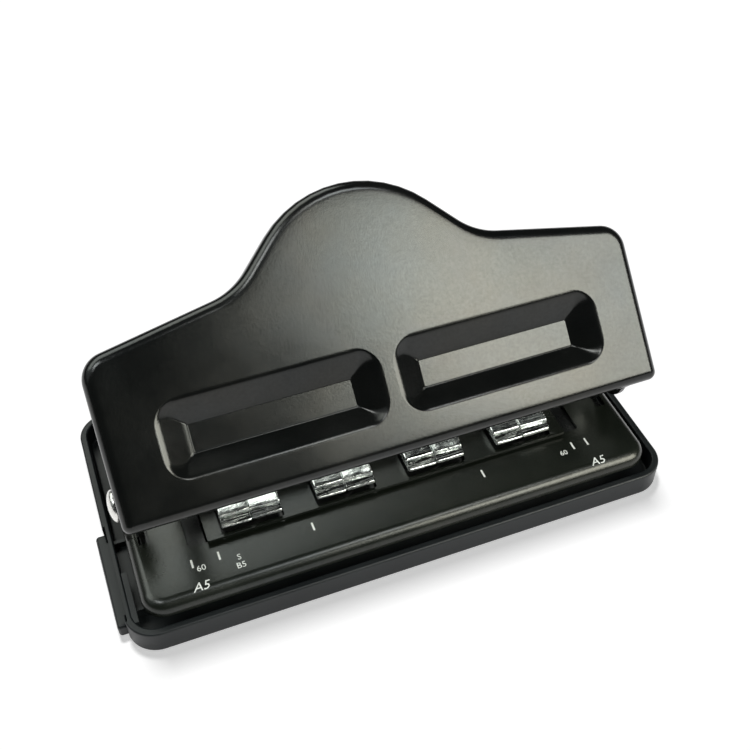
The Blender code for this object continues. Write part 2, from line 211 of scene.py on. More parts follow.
def solid_object(name, skin, place=None, up=None):
    """Mesh object from a skin; up is the direction that most faces look in."""
    mesh = bpy.data.meshes.new(name)
    spots = [place(*p) if place else p for p in skin.points]
    mesh.from_pydata([[c * MM for c in p] for p in spots], [], skin.faces)
    tidy = bmesh.new()
    tidy.from_mesh(mesh)
    bmesh.ops.remove_doubles(tidy, verts=tidy.verts, dist=WELD)
    bmesh.ops.recalc_face_normals(tidy, faces=tidy.faces)
    if up is not None:
        lean = sum(f.normal.dot(Vector(up)) * f.calc_area() for f in tidy.faces)
        if lean < 0:
            bmesh.ops.reverse_faces(tidy, faces=tidy.faces)
    tidy.to_mesh(mesh)
    tidy.free()
    return new_object(name, mesh)


def freeze(obj):
    """Turn the object's modifiers into its mesh."""
    graph = bpy.context.evaluated_depsgraph_get()
    made = bpy.data.meshes.new_from_object(obj.evaluated_get(graph))
    obj.modifiers.clear()
    obj.data = made
    made.name = obj.name
    return obj


def thicken(obj, thickness):
    wall = obj.modifiers.new("sheet", "SOLIDIFY")
    wall.thickness = thickness * MM
    wall.offset = -1.0
    wall.use_even_offset = True
    return freeze(obj)


def combine(obj, other, operation):
    """Add or cut another object with an exact Boolean, then delete it."""
    step = obj.modifiers.new("step", "BOOLEAN")
    step.object = other
    step.operation = operation
    step.solver = "EXACT"
    freeze(obj)
    bpy.data.objects.remove(other)
    return obj


def soften(obj, width, segments=2, angle=40.0):
    """Break the sharp edges, then shade with weights that keep flat faces flat."""
    if width:
        edge = obj.modifiers.new("edge", "BEVEL")
        edge.width = width * MM
        edge.segments = segments
        edge.limit_method = "ANGLE"
        edge.angle_limit = math.radians(angle)
        edge.miter_outer = "MITER_ARC"
        freeze(obj)
    obj.data.shade_smooth()
    obj.data.set_sharp_from_angle(angle=math.radians(SHARP_ANGLE))
    weigh = obj.modifiers.new("weigh", "WEIGHTED_NORMAL")
    weigh.keep_sharp = True
    weigh.weight = FLAT_WEIGHT
    return freeze(obj)


def dress(obj, material, body, slot, *nodes):
    """Give a piece its material and body, and hide the CAD nodes it stands for; slot is not used.
    """
    obj.data.materials.clear()
    obj.data.materials.append(material)
    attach(obj, body)
    if nodes:
        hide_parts(*nodes)
    print(f"{obj.name}: {len(obj.data.polygons)} faces, rides on {body}")
    return obj


# %% [markdown]
# ## Shared surface effects
# Paint, plastic and plating share small faults: a faint orange peel, clouds in
# the tone, fine scratches and dust. Each is a node group with named inputs,
# built once and placed in every material with that material's own values.


# %% A small kit for node trees
def shader_group(name, sockets_in, sockets_out):
    """Empty shader group, with the sockets it is given and those of its result."""
    group = bpy.data.node_groups.new(name, "ShaderNodeTree")
    for label, kind, value in sockets_in:
        socket = group.interface.new_socket(label, in_out="INPUT", socket_type=kind)
        socket.default_value = value
    for label, kind in sockets_out:
        group.interface.new_socket(label, in_out="OUTPUT", socket_type=kind)
    given = group.nodes.new("NodeGroupInput").outputs
    return group, given, group.nodes.new("NodeGroupOutput").inputs


def feed(tree, socket, value):
    """Link another node's output to an input, or store a plain value in it."""
    if isinstance(value, bpy.types.NodeSocket):
        tree.links.new(value, socket)
    elif value is not None:
        socket.default_value = value


def add_node(tree, kind, **values):
    """New node, fed by input name; an underscore stands for a space."""
    node = tree.nodes.new(kind)
    for name, value in values.items():
        feed(tree, node.inputs[name.replace("_", " ")], value)
    return node


def add_math(tree, operation, first, second=None, third=None, clamp=False):
    node = tree.nodes.new("ShaderNodeMath")
    node.operation = operation
    node.use_clamp = clamp
    for slot, value in enumerate((first, second, third)):
        feed(tree, node.inputs[slot], value)
    return node.outputs[0]


def add_noise(tree, where, scale, detail=2.0, rough=0.5):
    return add_node(tree, "ShaderNodeTexNoise", Vector=where, Scale=scale, Detail=detail,
                    Roughness=rough).outputs["Fac"]


def add_mix(tree, share, first, second):
    """Mix two colours, whose sockets are numbers 6 and 7 of the mixing node."""
    node = tree.nodes.new("ShaderNodeMix")
    node.data_type = "RGBA"
    for slot, value in (("Factor", share), (6, first), (7, second)):
        feed(tree, node.inputs[slot], value)
    return node.outputs[2]


# %% Orange peel, clouds, dust and scratches
FLOAT, VECTOR, COLOUR = "NodeSocketFloat", "NodeSocketVector", "NodeSocketColor"


def make_peel():
    """Height of a sprayed or moulded surface: fine grain on a slow swell."""
    group, given, result = shader_group(
        "surface_grain", [("Vector", VECTOR, (0, 0, 0)), ("Grain Scale", FLOAT, 2400.0),
                          ("Swell Scale", FLOAT, 130.0), ("Swell Share", FLOAT, 0.5)],
        [("Height", FLOAT)])
    grain = add_noise(group, given["Vector"], given["Grain Scale"], 3.0, 0.6)
    swell = add_noise(group, given["Vector"], given["Swell Scale"], 2.0, 0.4)
    part = add_math(group, "MULTIPLY", swell, given["Swell Share"])
    group.links.new(add_math(group, "ADD", grain, part), result["Height"])
    return group


def make_clouds():
    """A tone that drifts between two colours, as uneven paint does."""
    group, given, result = shader_group(
        "drifting_tone", [("Vector", VECTOR, (0, 0, 0)), ("Scale", FLOAT, 60.0),
                          ("Dark", COLOUR, (0, 0, 0, 1)), ("Light", COLOUR, (1, 1, 1, 1))],
        [("Color", COLOUR), ("Mask", FLOAT)])
    cloud = add_noise(group, given["Vector"], given["Scale"], 5.0, 0.62)
    spread = add_math(group, "MULTIPLY", add_math(group, "SUBTRACT", cloud, 0.32), 2.6,
                      clamp=True)
    tone = add_mix(group, spread, given["Dark"], given["Light"])
    group.links.new(tone, result["Color"])
    group.links.new(spread, result["Mask"])
    return group


def make_dust():
    """Sparse round specks: a few cells of a Voronoi pattern, near their centres."""
    group, given, result = shader_group(
        "dust_specks", [("Vector", VECTOR, (0, 0, 0)), ("Scale", FLOAT, 260.0),
                        ("Share", FLOAT, 0.1), ("Size", FLOAT, 0.06)],
        [("Mask", FLOAT)])
    cells = add_node(group, "ShaderNodeTexVoronoi", Vector=given["Vector"],
                     Scale=given["Scale"])
    pick = add_node(group, "ShaderNodeSeparateColor", Color=cells.outputs["Color"])
    chosen = add_math(group, "LESS_THAN", pick.outputs[0], given["Share"])
    radius = add_math(group, "MULTIPLY", pick.outputs[1], given["Size"])
    near = add_math(group, "LESS_THAN", cells.outputs["Distance"], radius)
    group.links.new(add_math(group, "MULTIPLY", chosen, near), result["Mask"])
    return group


def make_scratches():
    """Fine lines in three directions: noise squeezed across each direction."""
    group, given, result = shader_group(
        "fine_scratches", [("Vector", VECTOR, (0, 0, 0)), ("Scale", FLOAT, 900.0),
                           ("Width", FLOAT, 0.03)],
        [("Mask", FLOAT)])
    total = None
    for turn, stretch in ((0.35, 0.05), (-0.7, 0.07), (1.35, 0.04)):
        lean = add_node(group, "ShaderNodeMapping", Vector=given["Vector"],
                        Rotation=(0.3 * turn, 0.2, turn), Scale=(stretch, 1.0, 1.0))
        lines = add_noise(group, lean.outputs["Vector"], given["Scale"], 1.0, 0.5)
        away = add_math(group, "ABSOLUTE", add_math(group, "SUBTRACT", lines, 0.5))
        line = add_math(group, "LESS_THAN", away, given["Width"])
        total = line if total is None else add_math(group, "ADD", total, line, clamp=True)
    group.links.new(total, result["Mask"])
    return group


SURFACE_GRAIN = make_peel()
DRIFTING_TONE = make_clouds()
DUST_SPECKS = make_dust()
FINE_SCRATCHES = make_scratches()
print("shared effects:", [g.name for g in bpy.data.node_groups])

# %% [markdown]
# ## Materials
# A finish is mostly its gloss. Black paint returns one part in twenty-five of
# what it mirrors, so its look comes from the lamps and from how rough it is. Its
# sheen is mottled: the strength and the tint of the reflection drift a little.
# Metal returns most of it, so its scratches and clouds carry the look.


# %% The material builder
SCRATCH_SCALE, SCRATCH_DEPTH, SCRATCH_ROUGHNESS = 900.0, 0.8, 0.12
DUST_SCALE, DUST_SIZE, DUST_COLOUR = 260.0, 0.07, (0.32, 0.32, 0.3, 1.0)
COOL_SHEEN, WARM_SHEEN = (0.93, 0.98, 1.0, 1.0), (1.0, 0.96, 0.87, 1.0)
BLACK, WHITE = (0, 0, 0, 1.0), (1, 1, 1, 1.0)
TINT_PATCHES, FLECKS = 0.45, 30


def finish(name, dark, light, rough, metal=0.0, cloud=60.0, grain=2400.0, swell=130.0,
           swell_share=0.5, depth=0.004, dust=0.0, scratch=0.0, rough_drift=0.06,
           stretch=(1.0, 1.0, 1.0), spec=0.5, sheen_drift=0.0):
    """Principled material with drifting tone and sheen, grain, dust and scratches."""
    mat = bpy.data.materials.new(name)
    mat.use_nodes = True
    tree = mat.node_tree
    shader = tree.nodes["Principled BSDF"]
    shader.inputs["Metallic"].default_value = metal
    shader.inputs["Specular IOR Level"].default_value = spec
    where = tree.nodes.new("ShaderNodeTexCoord").outputs["Object"]
    if stretch != (1.0, 1.0, 1.0):
        where = add_node(tree, "ShaderNodeMapping", Vector=where,
                         Scale=stretch).outputs["Vector"]

    def place(group, **values):
        node = tree.nodes.new("ShaderNodeGroup")
        node.node_tree = group
        for name, value in {"Vector": where, **values}.items():
            feed(tree, node.inputs[name.replace("_", " ")], value)
        return node

    tone = place(DRIFTING_TONE, Scale=cloud, Dark=(*dark, 1.0), Light=(*light, 1.0))
    colour, gloss = tone.outputs["Color"], tone.outputs["Mask"]
    peel = place(SURFACE_GRAIN, Grain_Scale=grain, Swell_Scale=swell, Swell_Share=swell_share)
    height = peel.outputs["Height"]
    rougher = add_math(tree, "MULTIPLY_ADD", gloss, rough_drift, rough)
    if scratch:
        lines = place(FINE_SCRATCHES, Scale=SCRATCH_SCALE, Width=scratch).outputs["Mask"]
        height = add_math(tree, "SUBTRACT", height,
                          add_math(tree, "MULTIPLY", lines, SCRATCH_DEPTH))
        rougher = add_math(tree, "ADD", rougher,
                           add_math(tree, "MULTIPLY", lines, SCRATCH_ROUGHNESS))
    if sheen_drift:
        patch = place(DRIFTING_TONE, Scale=cloud * TINT_PATCHES, Dark=COOL_SHEEN,
                      Light=WARM_SHEEN)
        tree.links.new(patch.outputs["Color"], shader.inputs["Specular Tint"])
        fine = place(DRIFTING_TONE, Scale=cloud * FLECKS, Dark=BLACK, Light=WHITE)
        both = add_math(tree, "ADD", gloss, fine.outputs["Mask"])
        level = add_math(tree, "MULTIPLY_ADD", both, sheen_drift, spec - sheen_drift)
        tree.links.new(level, shader.inputs["Specular IOR Level"])
    if dust:
        specks = place(DUST_SPECKS, Scale=DUST_SCALE, Share=dust, Size=DUST_SIZE)
        colour = add_mix(tree, specks.outputs["Mask"], colour, DUST_COLOUR)
    bump = add_node(tree, "ShaderNodeBump", Strength=1.0, Distance=depth * MM, Height=height)
    tree.links.new(colour, shader.inputs["Base Color"])
    tree.links.new(rougher, shader.inputs["Roughness"])
    tree.links.new(bump.outputs["Normal"], shader.inputs["Normal"])
    return mat


# %% The finishes of this punch
lever_paint = finish("satin_black_lever_paint", (0.0016, 0.002, 0.002), (0.003, 0.0034, 0.0032),
                     0.17, cloud=45.0, depth=0.017, dust=0.03, rough_drift=0.07,
                     sheen_drift=0.1)
deck_paint = finish("satin_black_deck_paint", (0.0042, 0.0054, 0.004), (0.0078, 0.0095, 0.007),
                    0.22, cloud=40.0, depth=0.02, dust=0.02, sheen_drift=0.14)
pan_plastic = finish("slate_black_moulded_plastic", (0.005, 0.0064, 0.0072), (0.009, 0.011, 0.012),
                     0.38, cloud=90.0, grain=3600.0, depth=0.007, dust=0.05, spec=0.32)
zinc = finish("bright_zinc_plate", (0.5, 0.53, 0.52), (0.88, 0.9, 0.88), 0.12, metal=1.0,
              cloud=420.0, grain=1100.0, swell=300.0, swell_share=3.4, depth=0.045,
              scratch=0.012, rough_drift=0.12)
turned_steel = finish("turned_steel_bar", (0.38, 0.38, 0.39), (0.5, 0.5, 0.5), 0.26, metal=1.0,
                      cloud=140.0, grain=2600.0, depth=0.004, scratch=0.02,
                      stretch=(3.0, 1.0, 1.0))
mill_steel = finish("mill_steel_strip", (0.3, 0.3, 0.31), (0.42, 0.42, 0.42), 0.34, metal=1.0,
                    cloud=160.0, depth=0.005, scratch=0.02, stretch=(0.25, 1.0, 1.0))
dark_steel = finish("blackened_steel", (0.004, 0.0045, 0.0045), (0.008, 0.0085, 0.0085), 0.24,
                    cloud=70.0, depth=0.005, dust=0.02)
spring_wire = finish("spring_wire", (0.42, 0.42, 0.43), (0.6, 0.6, 0.6), 0.24, metal=1.0,
                     cloud=300.0, depth=0.003, scratch=0.015)
nickel = finish("nickel_rivet", (0.72, 0.71, 0.68), (0.86, 0.85, 0.82), 0.2, metal=1.0,
                cloud=220.0, depth=0.006, scratch=0.018)
nylon = finish("natural_nylon", (0.5, 0.5, 0.46), (0.62, 0.62, 0.58), 0.5, cloud=120.0)
ink = finish("white_ink", (0.62, 0.64, 0.62), (0.8, 0.82, 0.8), 0.5, cloud=700.0,
             grain=5200.0, depth=0.004)
print("finishes made:", len(bpy.data.materials))

# %% [markdown]
# ## The lever
# The lever is one stamping: a flat plate with a palm hump, a rolled rim, two
# tapered recesses and two side walls that end in round hinge lugs. It could be
# a subdivision cage, but the creases at the recess floors have to stay crisp
# while their rims are soft. Rings make both: they lie close together in a
# bend and far apart on a flat, and the sheet gets its thickness at the end.

# %% Where the lever's drawing lies
TILT = 0.80
HINGE_V, HINGE_N = 4.7, -23.3
hinge = Vector(joints["lever_hinge"]["pos_m"]) / MM
lean_cos, lean_sin = math.cos(TILT), math.sin(TILT)


def on_lever(x, v, n):
    """From the lever's drawing (across, up the plate, out of it) to its raised place."""
    dv, dn = v - HINGE_V, n - HINGE_N
    return (x, hinge.y + dv * lean_cos - dn * lean_sin, hinge.z + dv * lean_sin + dn * lean_cos)


plate_out = Vector(on_lever(0, 0, 1)) - Vector(on_lever(0, 0, 0))
print("the raised plate faces", [round(c, 2) for c in plate_out])

# %% The rim, the flat and the side walls
LEVER_HALF, LEVER_SHEET = 69.0, 1.2
LEVER = [(LEVER_HALF, 0.0, 2.2), (LEVER_HALF, 40.5, 6.5), (30.9, 47.7, 18.0),
         (0.0, 78.6, 29.0), (-30.9, 47.7, 18.0), (-LEVER_HALF, 40.5, 6.5),
         (-LEVER_HALF, 0.0, 2.2)]
PLATE_TOP, RIM_LOW, RIM_RADIUS = 2.5, -3.0, 2.8
CROWN_WIDTH, CROWN_DROP = 6.4, 0.14
LUG_RADIUS, BORE_RADIUS = 9.2, 2.6
LUG_START, LUG_SWEEP, LUG_STEPS = 20, 235, 26
WALL_BACK = [(31.4, -3.0), (29.8, -3.25), (28.4, -4.2)]
WALL_FRONT = [(0.1, -4.9), (0.9, -3.8)]
LEVER_ARC, RIM_STEPS = 12, 10


def crown(inset):
    """The plate falls away a little towards its rim, which softens the light."""
    return CROWN_DROP * max(0.0, 1.0 - inset / CROWN_WIDTH) ** 2


def rim_profile():
    steps = [(0.0, RIM_LOW), (0.0, PLATE_TOP - RIM_RADIUS)]
    for angle in quarter_turn(RIM_STEPS):
        steps.append((RIM_RADIUS * (1 - math.cos(angle)),
                      PLATE_TOP - RIM_RADIUS + RIM_RADIUS * math.sin(angle)))
    steps += [(inset, PLATE_TOP) for inset in (3.4, 4.2, 5.2, CROWN_WIDTH)]
    return [(inset, height - crown(inset)) for inset, height in steps]


def side_wall(skin, lip, bend, first, last, x):
    """Flat side wall with its hinge lug, in the plane at x, below the bend."""
    lug = []
    for k in range(LUG_STEPS + 1):
        angle = math.radians(LUG_START - LUG_SWEEP * k / LUG_STEPS)
        lug.append((HINGE_V + LUG_RADIUS * math.cos(angle),
                    HINGE_N + LUG_RADIUS * math.sin(angle)))
    path = WALL_BACK + lug + WALL_FRONT
    if skin.points[bend[first]][1] > skin.points[bend[last]][1]:
        path.reverse()
    edge = skin.ring([(x, v, n) for v, n in path])
    border = [bend[first], bend[last], lip[last]] + edge + [lip[first]]
    bore = skin.ring([(x, v, n) for v, n in circle(HINGE_V, HINGE_N, BORE_RADIUS, 32)])
    skin.fill(border, [bore], axes=(1, 2))


lever_skin = Skin()
rim_rings = [lever_skin.ring([(x, v, height) for x, v in outline(LEVER, -inset, LEVER_ARC, 0.4)])
             for inset, height in rim_profile()]
corner_points = LEVER_ARC + 1
right_edge = corner_points - 1
left_edge = 6 * corner_points - 1
lever_skin.bridge(rim_rings[0], rim_rings[1], skip=(right_edge, left_edge))
for low, high in zip(rim_rings[1:], rim_rings[2:]):
    lever_skin.bridge(low, high)
for first, x in ((right_edge, LEVER_HALF), (left_edge, -LEVER_HALF)):
    side_wall(lever_skin, rim_rings[0], rim_rings[1], first, first + 1, x)
print("rings in the rim:", len(rim_rings), "points in each:", len(rim_rings[0]))

# %% [markdown]
# ## The two recesses
# A recess is a tapered pocket. Its rings run from a wide rounded rim down to a
# small crisp floor. The wall's height follows a rule with three parts: a soft
# bend at the rim, a straight slope, and a very small bend at the floor. The
# straight slope keeps the walls flat and the corner lines crisp. A tiny bead at
# the foot of the wall catches the light as a hairline round the floor.

# %% Recess walls from rings
RECESS_RIM = (1.3, 56.6, 8.0, 28.0)
RECESS_FLOOR = (8.9, 48.8, 14.1, 20.5)
RECESS_DEPTH, SOFT_SHARE, CREASE_SHARE = 4.0, 0.24, 0.05
BEAD, BEAD_SHARE = 0.16, 0.04
FLOOR_CORNER, CORNER_GROWTH, CORNER_POWER = 0.35, 6.8, 2.6


def wall_height(share):
    """Height below the plate at a share of the way from the floor to the rim."""
    slope = RECESS_DEPTH / (1 - SOFT_SHARE / 2 - CREASE_SHARE / 2)
    if share < CREASE_SHARE:
        return -RECESS_DEPTH + slope * share ** 2 / (2 * CREASE_SHARE)
    if share < 1 - SOFT_SHARE:
        return -RECESS_DEPTH + slope * (share - CREASE_SHARE / 2)
    return -slope * (1 - share) ** 2 / (2 * SOFT_SHARE)


def recess_ring(side, share):
    limits = [low + (high - low) * share for low, high in zip(RECESS_FLOOR, RECESS_RIM)]
    x0, x1 = sorted((side * limits[0], side * limits[1]))
    radius = FLOOR_CORNER + CORNER_GROWTH * share ** CORNER_POWER
    corners = rectangle(x0, x1, limits[2], limits[3], radius)
    height = PLATE_TOP + wall_height(share) + (BEAD if share == BEAD_SHARE else 0.0)
    return [(x, v, height) for x, v in outline(corners, 0.0, 8, 0.2)]


recess_rims = []
SHARES = [1.0, 0.97, 0.94, 0.91, 0.88, 0.85, 0.82, 0.79, 0.76, 0.64, 0.5, 0.35, 0.2, 0.08,
          BEAD_SHARE, 0.02, 0.0]
for side in (-1, 1):
    rows = [lever_skin.ring(recess_ring(side, share)) for share in SHARES]
    for high, low in zip(rows, rows[1:]):
        lever_skin.bridge(high, low)
    lever_skin.close(rows[-1])
    recess_rims.append(rows[0])
lever_skin.fill(rim_rings[-1], recess_rims)
lever = solid_object("lever_plate_skin", lever_skin, on_lever, plate_out)
thicken(lever, LEVER_SHEET)
soften(lever, 0.16, 2, 60.0)
dress(lever, lever_paint, "lever", "lever_plate", "lever_plate")

# %% [markdown]
# ## The press bar and its bracket
# Under the plate a round bar pushes all four heads down. It is held by a
# folded strip with an arm at each end. The strip's CAD shape is right, so it
# only gets a finish. The bar is turned from a profile, with a chamfer and a
# shallow groove at each end.


# %% Turned parts
def turned(name, profile, y, z, sides=64):
    """Solid of revolution about a line along X; profile is (x, radius)."""
    skin = Skin()
    skin.loft([[(x, y + a, z + b) for a, b in circle(0, 0, r, sides)] for x, r in profile])
    return solid_object(name, skin)


low, high = (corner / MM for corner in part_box("press_bar"))
bar_y, bar_z, bar_r = (low.y + high.y) / 2, (low.z + high.z) / 2, (high.z - low.z) / 2
BAR_END = [(0.0, 0.6), (0.6, 0.0), (3.0, 0.0), (3.1, 0.15), (3.5, 0.15), (3.6, 0.0)]
bar_profile = [(low.x + along, bar_r - cut) for along, cut in BAR_END]
bar_profile += [(high.x - along, bar_r - cut) for along, cut in reversed(BAR_END)]
press_bar = turned("press_bar_turned", bar_profile, bar_y, bar_z)
soften(press_bar, 0.0)
dress(press_bar, turned_steel, "lever", "press_parts", "press_bar")


def repaint(node, material):
    """A CAD node whose shape is right keeps it and gets a finish."""
    obj = frame["nodes"][node]
    obj.data.materials.clear()
    obj.data.materials.append(material)


repaint("press_bracket", dark_steel)

# %% [markdown]
# ## The deck
# The deck is a second pressing, shallower than the lever: a flat top with soft
# bends, a window for the punching unit, a slot for each hinge ear and four
# screw holes. It is made as the lever is, so the two look like one family.

# %% The deck's sheet
DECK = rectangle(-69.8, 69.8, -16.2, 50.0, 6.0)
DECK_TOP, DECK_LOW, DECK_BEND = 13.4, 9.4, 3.0
DECK_SHEET, DECK_BEND_STEPS = 1.0, 8
WINDOW = (-55.3, 55.3, -1.2, 21.0)
EAR_SLOT = (64.1, 66.8, 4.0, 25.5)
SCREW_HOLE = 1.7
deck_skin = Skin()
deck_steps = [(0.0, DECK_LOW)]
for angle in quarter_turn(DECK_BEND_STEPS, 0):
    deck_steps.append((DECK_BEND * (1 - math.cos(angle)),
                       DECK_TOP - DECK_BEND + DECK_BEND * math.sin(angle)))
deck_rings = [deck_skin.ring([(x, y, z) for x, y in outline(DECK, -inset, 10, 0.4)])
              for inset, z in deck_steps]
for low, high in zip(deck_rings, deck_rings[1:]):
    deck_skin.bridge(low, high)
deck_holes = [outline(rectangle(*WINDOW, 0.8), 0.0, 4)]
for side in (-1, 1):
    x0, x1 = sorted((side * EAR_SLOT[0], side * EAR_SLOT[1]))
    deck_holes.append(outline(rectangle(x0, x1, *EAR_SLOT[2:], 0.4), 0.0, 3))
SCREW_SPOTS = [(x, y) for x in (-45.0, 45.0) for y in (26.0, 40.0)]
deck_holes += [circle(x, y, SCREW_HOLE, 24) for x, y in SCREW_SPOTS]
deck_skin.fill(deck_rings[-1], [deck_skin.ring([(x, y, DECK_TOP) for x, y in hole])
                                for hole in deck_holes])
deck = solid_object("deck_sheet", deck_skin, None, (0, 0, 1))
thicken(deck, DECK_SHEET)
soften(deck, 0.14, 2, 60.0)
dress(deck, deck_paint, "base", "deck_cover", "deck_cover")

# %% [markdown]
# ## The guide bar
# The guide bar stands over the paper entry, and each head slides through an
# opening in it. The openings repeat at one pitch, so one rule places them. A
# flange runs along the back and down each end.

# %% The guide bar's sheet
PITCH = 25.4
PUNCH_X = [(i - 1.5) * PITCH for i in range(4)]
BAR = (-50.3, 50.3, -2.3, 12.0)
BAR_TOP, BAR_SHEET = 15.0, 0.8
OPENING = outline(rectangle(-8.3, 8.3, -1.4, 10.8, 0.5), 0.0, 3)
FLANGES = ((BAR[0] + 0.8, BAR[1] - 0.8, 11.15, 11.95, 13.2),
           (BAR[0], BAR[0] + 0.8, -1.0, 11.2, 9.4), (BAR[1] - 0.8, BAR[1], -1.0, 11.2, 9.4))


def plain_box(name, x0, x1, y0, y1, z0, z1):
    skin = Skin()
    corners = [(x0, y0), (x1, y0), (x1, y1), (x0, y1)]
    skin.loft([[(x, y, z) for x, y in corners] for z in (z0, z1)])
    return solid_object(name, skin)


bar_skin = Skin()
bar_border = bar_skin.ring([(x, y, BAR_TOP) for x, y in outline(rectangle(*BAR, 0.3), 0.0, 4)])
bar_skin.fill(bar_border, [bar_skin.ring([(x + middle, y, BAR_TOP) for x, y in OPENING])
                           for middle in PUNCH_X])
guide_bar = solid_object("guide_bar_sheet", bar_skin, None, (0, 0, 1))
thicken(guide_bar, BAR_SHEET)
for flange in FLANGES:
    combine(guide_bar, plain_box("flange", *flange, BAR_TOP - 0.4), "UNION")
soften(guide_bar, 0.18, 2, 60.0)
dress(guide_bar, deck_paint, "base", "guide_bar", "guide_bar")
repaint("hinge_frame", dark_steel)
repaint("die_plate", dark_steel)

# %% [markdown]
# ## The punch heads
# A head is folded from plated strip. Its front lip is bent down, a second
# layer lies over it, and the two flanges meet in a seam at the middle. The
# layers are one side profile swept across, drawn in a little at the seam and
# at the ends. One half sits a hair lower than the other, as bent strip does.

# %% One head, at the middle of the row
HEAD_HALF = 7.95
HEAD_HOLLOW = (-6.7, 6.7, 0.4, 9.8, 10.0, 17.3)
UNDERSIDE = 18.4
HEAD_SIDE = [(-1.0, 16.5), (-1.0, 17.05), (-0.86, 17.28), (-0.6, 17.4), (0.9, 17.8),
             (1.2, 17.84), (1.36, 17.5), (1.4, 17.5), (1.42, 18.25), (1.55, 18.62),
             (1.85, 18.8), (2.6, 18.86), (5.0, 18.92), (11.2, 19.15), (11.7, 19.35),
             (12.1, 19.65), (12.5, 19.75), (18.7, 19.75), (19.0, 19.5), (19.0, UNDERSIDE),
             (10.4, UNDERSIDE), (10.4, 16.5)]


def head_station(x, tuck, drop, hang):
    """The side profile at x: drawn in by tuck, lowered by drop, overhanging by hang."""
    spots = []
    for y, z in HEAD_SIDE:
        if 1.41 < y < 2.0 and z > 18.0:
            y, z = y - hang, z + 0.25 * hang
        lower = drop * max(0.0, 1.0 - max(y, 0.0) / 9.0)
        top_side = z > 17.0 and z != UNDERSIDE
        spots.append((x, y + (tuck if y < 0 else -tuck if y > 18 else 0.0),
                      z - (tuck if top_side else 0.0) - (lower if z > 16.6 else 0.0)))
    return spots


def make_head():
    skin = Skin()
    skin.loft([head_station(*station) for station in (
        (-HEAD_HALF, 0.22, 0.1, 0.0), (-HEAD_HALF + 0.2, 0.03, 0.1, 0.0),
        (-HEAD_HALF + 0.5, 0.0, 0.1, 0.02), (-6.2, 0.0, 0.2, 0.0), (-4.0, 0.0, 0.3, 0.05),
        (-2.2, 0.0, 0.34, 0.0), (-0.3, 0.0, 0.36, 0.0), (-0.16, 0.1, 0.38, 0.0),
        (-0.1, 0.5, 0.4, 0.0), (0.1, 0.5, 0.0, 0.3), (0.16, 0.1, 0.0, 0.3),
        (0.3, 0.0, 0.0, 0.32), (2.4, 0.0, 0.03, 0.42), (4.6, 0.0, 0.05, 0.5),
        (6.4, 0.0, 0.0, 0.56), (HEAD_HALF - 0.5, 0.0, 0.0, 0.66),
        (HEAD_HALF - 0.2, 0.03, 0.0, 0.7), (HEAD_HALF, 0.16, 0.0, 0.62))])
    head = solid_object("head_pattern", skin)
    combine(head, plain_box("hollow", *HEAD_HOLLOW), "DIFFERENCE")
    return soften(head, 0.0)


head_pattern = make_head()
print("faces in one head:", len(head_pattern.data.polygons))

# %% [markdown]
# ## Four heads from one pattern
# The heads are alike and a pitch apart, but each slides on its own. A small
# geometry tree moves the pattern to its place in the row: its inputs are the
# pitch and the head's number, so four settings of one tree give four meshes.


# %% Geometry trees
def geometry_tree(name, sockets):
    """Empty geometry tree, with the sockets it is given and those of its result."""
    tree = bpy.data.node_groups.new(name, "GeometryNodeTree")
    tree.interface.new_socket("Geometry", in_out="INPUT", socket_type="NodeSocketGeometry")
    for label, kind, value in sockets:
        socket = tree.interface.new_socket(label, in_out="INPUT", socket_type=kind)
        if value is not None:
            socket.default_value = value
    tree.interface.new_socket("Geometry", in_out="OUTPUT", socket_type="NodeSocketGeometry")
    given = tree.nodes.new("NodeGroupInput").outputs
    return tree, given, tree.nodes.new("NodeGroupOutput").inputs


def end_tree(tree, result, shape, material):
    """Realize the instances and set the material, so that an export keeps both."""
    real = add_node(tree, "GeometryNodeRealizeInstances", Geometry=shape)
    coat = add_node(tree, "GeometryNodeSetMaterial", Geometry=real.outputs["Geometry"],
                    Material=material)
    tree.links.new(coat.outputs["Geometry"], result["Geometry"])


def grow(name, tree, values, source=None):
    """Run a geometry tree on a fresh object and keep the mesh that it makes."""
    mesh = source.data.copy() if source else bpy.data.meshes.new(name)
    obj = new_object(name, mesh)
    step = obj.modifiers.new("tree", "NODES")
    step.node_group = tree
    ids = {s.name: s.identifier for s in tree.interface.items_tree if s.in_out == "INPUT"}
    for label, value in values.items():
        step[ids[label]] = value
    return freeze(obj)


def vector_of(tree, x=0.0, y=0.0, z=0.0):
    return add_node(tree, "ShaderNodeCombineXYZ", X=x, Y=y, Z=z).outputs[0]


row_tree, row_in, row_out = geometry_tree("row_place", [
    ("Pitch", FLOAT, PITCH * MM), ("Number", FLOAT, 1.0), ("Row Length", FLOAT, 4.0)])
one_more = add_math(row_tree, "ADD", row_in["Row Length"], 1.0)
half_row = add_math(row_tree, "MULTIPLY", one_more, 0.5)
steps_out = add_math(row_tree, "SUBTRACT", row_in["Number"], half_row)
row_shift = vector_of(row_tree, add_math(row_tree, "MULTIPLY", steps_out, row_in["Pitch"]))
row_move = add_node(row_tree, "GeometryNodeTransform", Geometry=row_in["Geometry"],
                    Translation=row_shift)
end_tree(row_tree, row_out, row_move.outputs["Geometry"], zinc)

for number in range(1, 5):
    head = grow(f"punch_head_{number}_folded", row_tree, {"Number": float(number)}, head_pattern)
    dress(head, zinc, f"punch_{number}", "punch_heads", f"punch_head_{number}")
    repaint(f"punch_pin_{number}", mill_steel)
bpy.data.objects.remove(head_pattern)
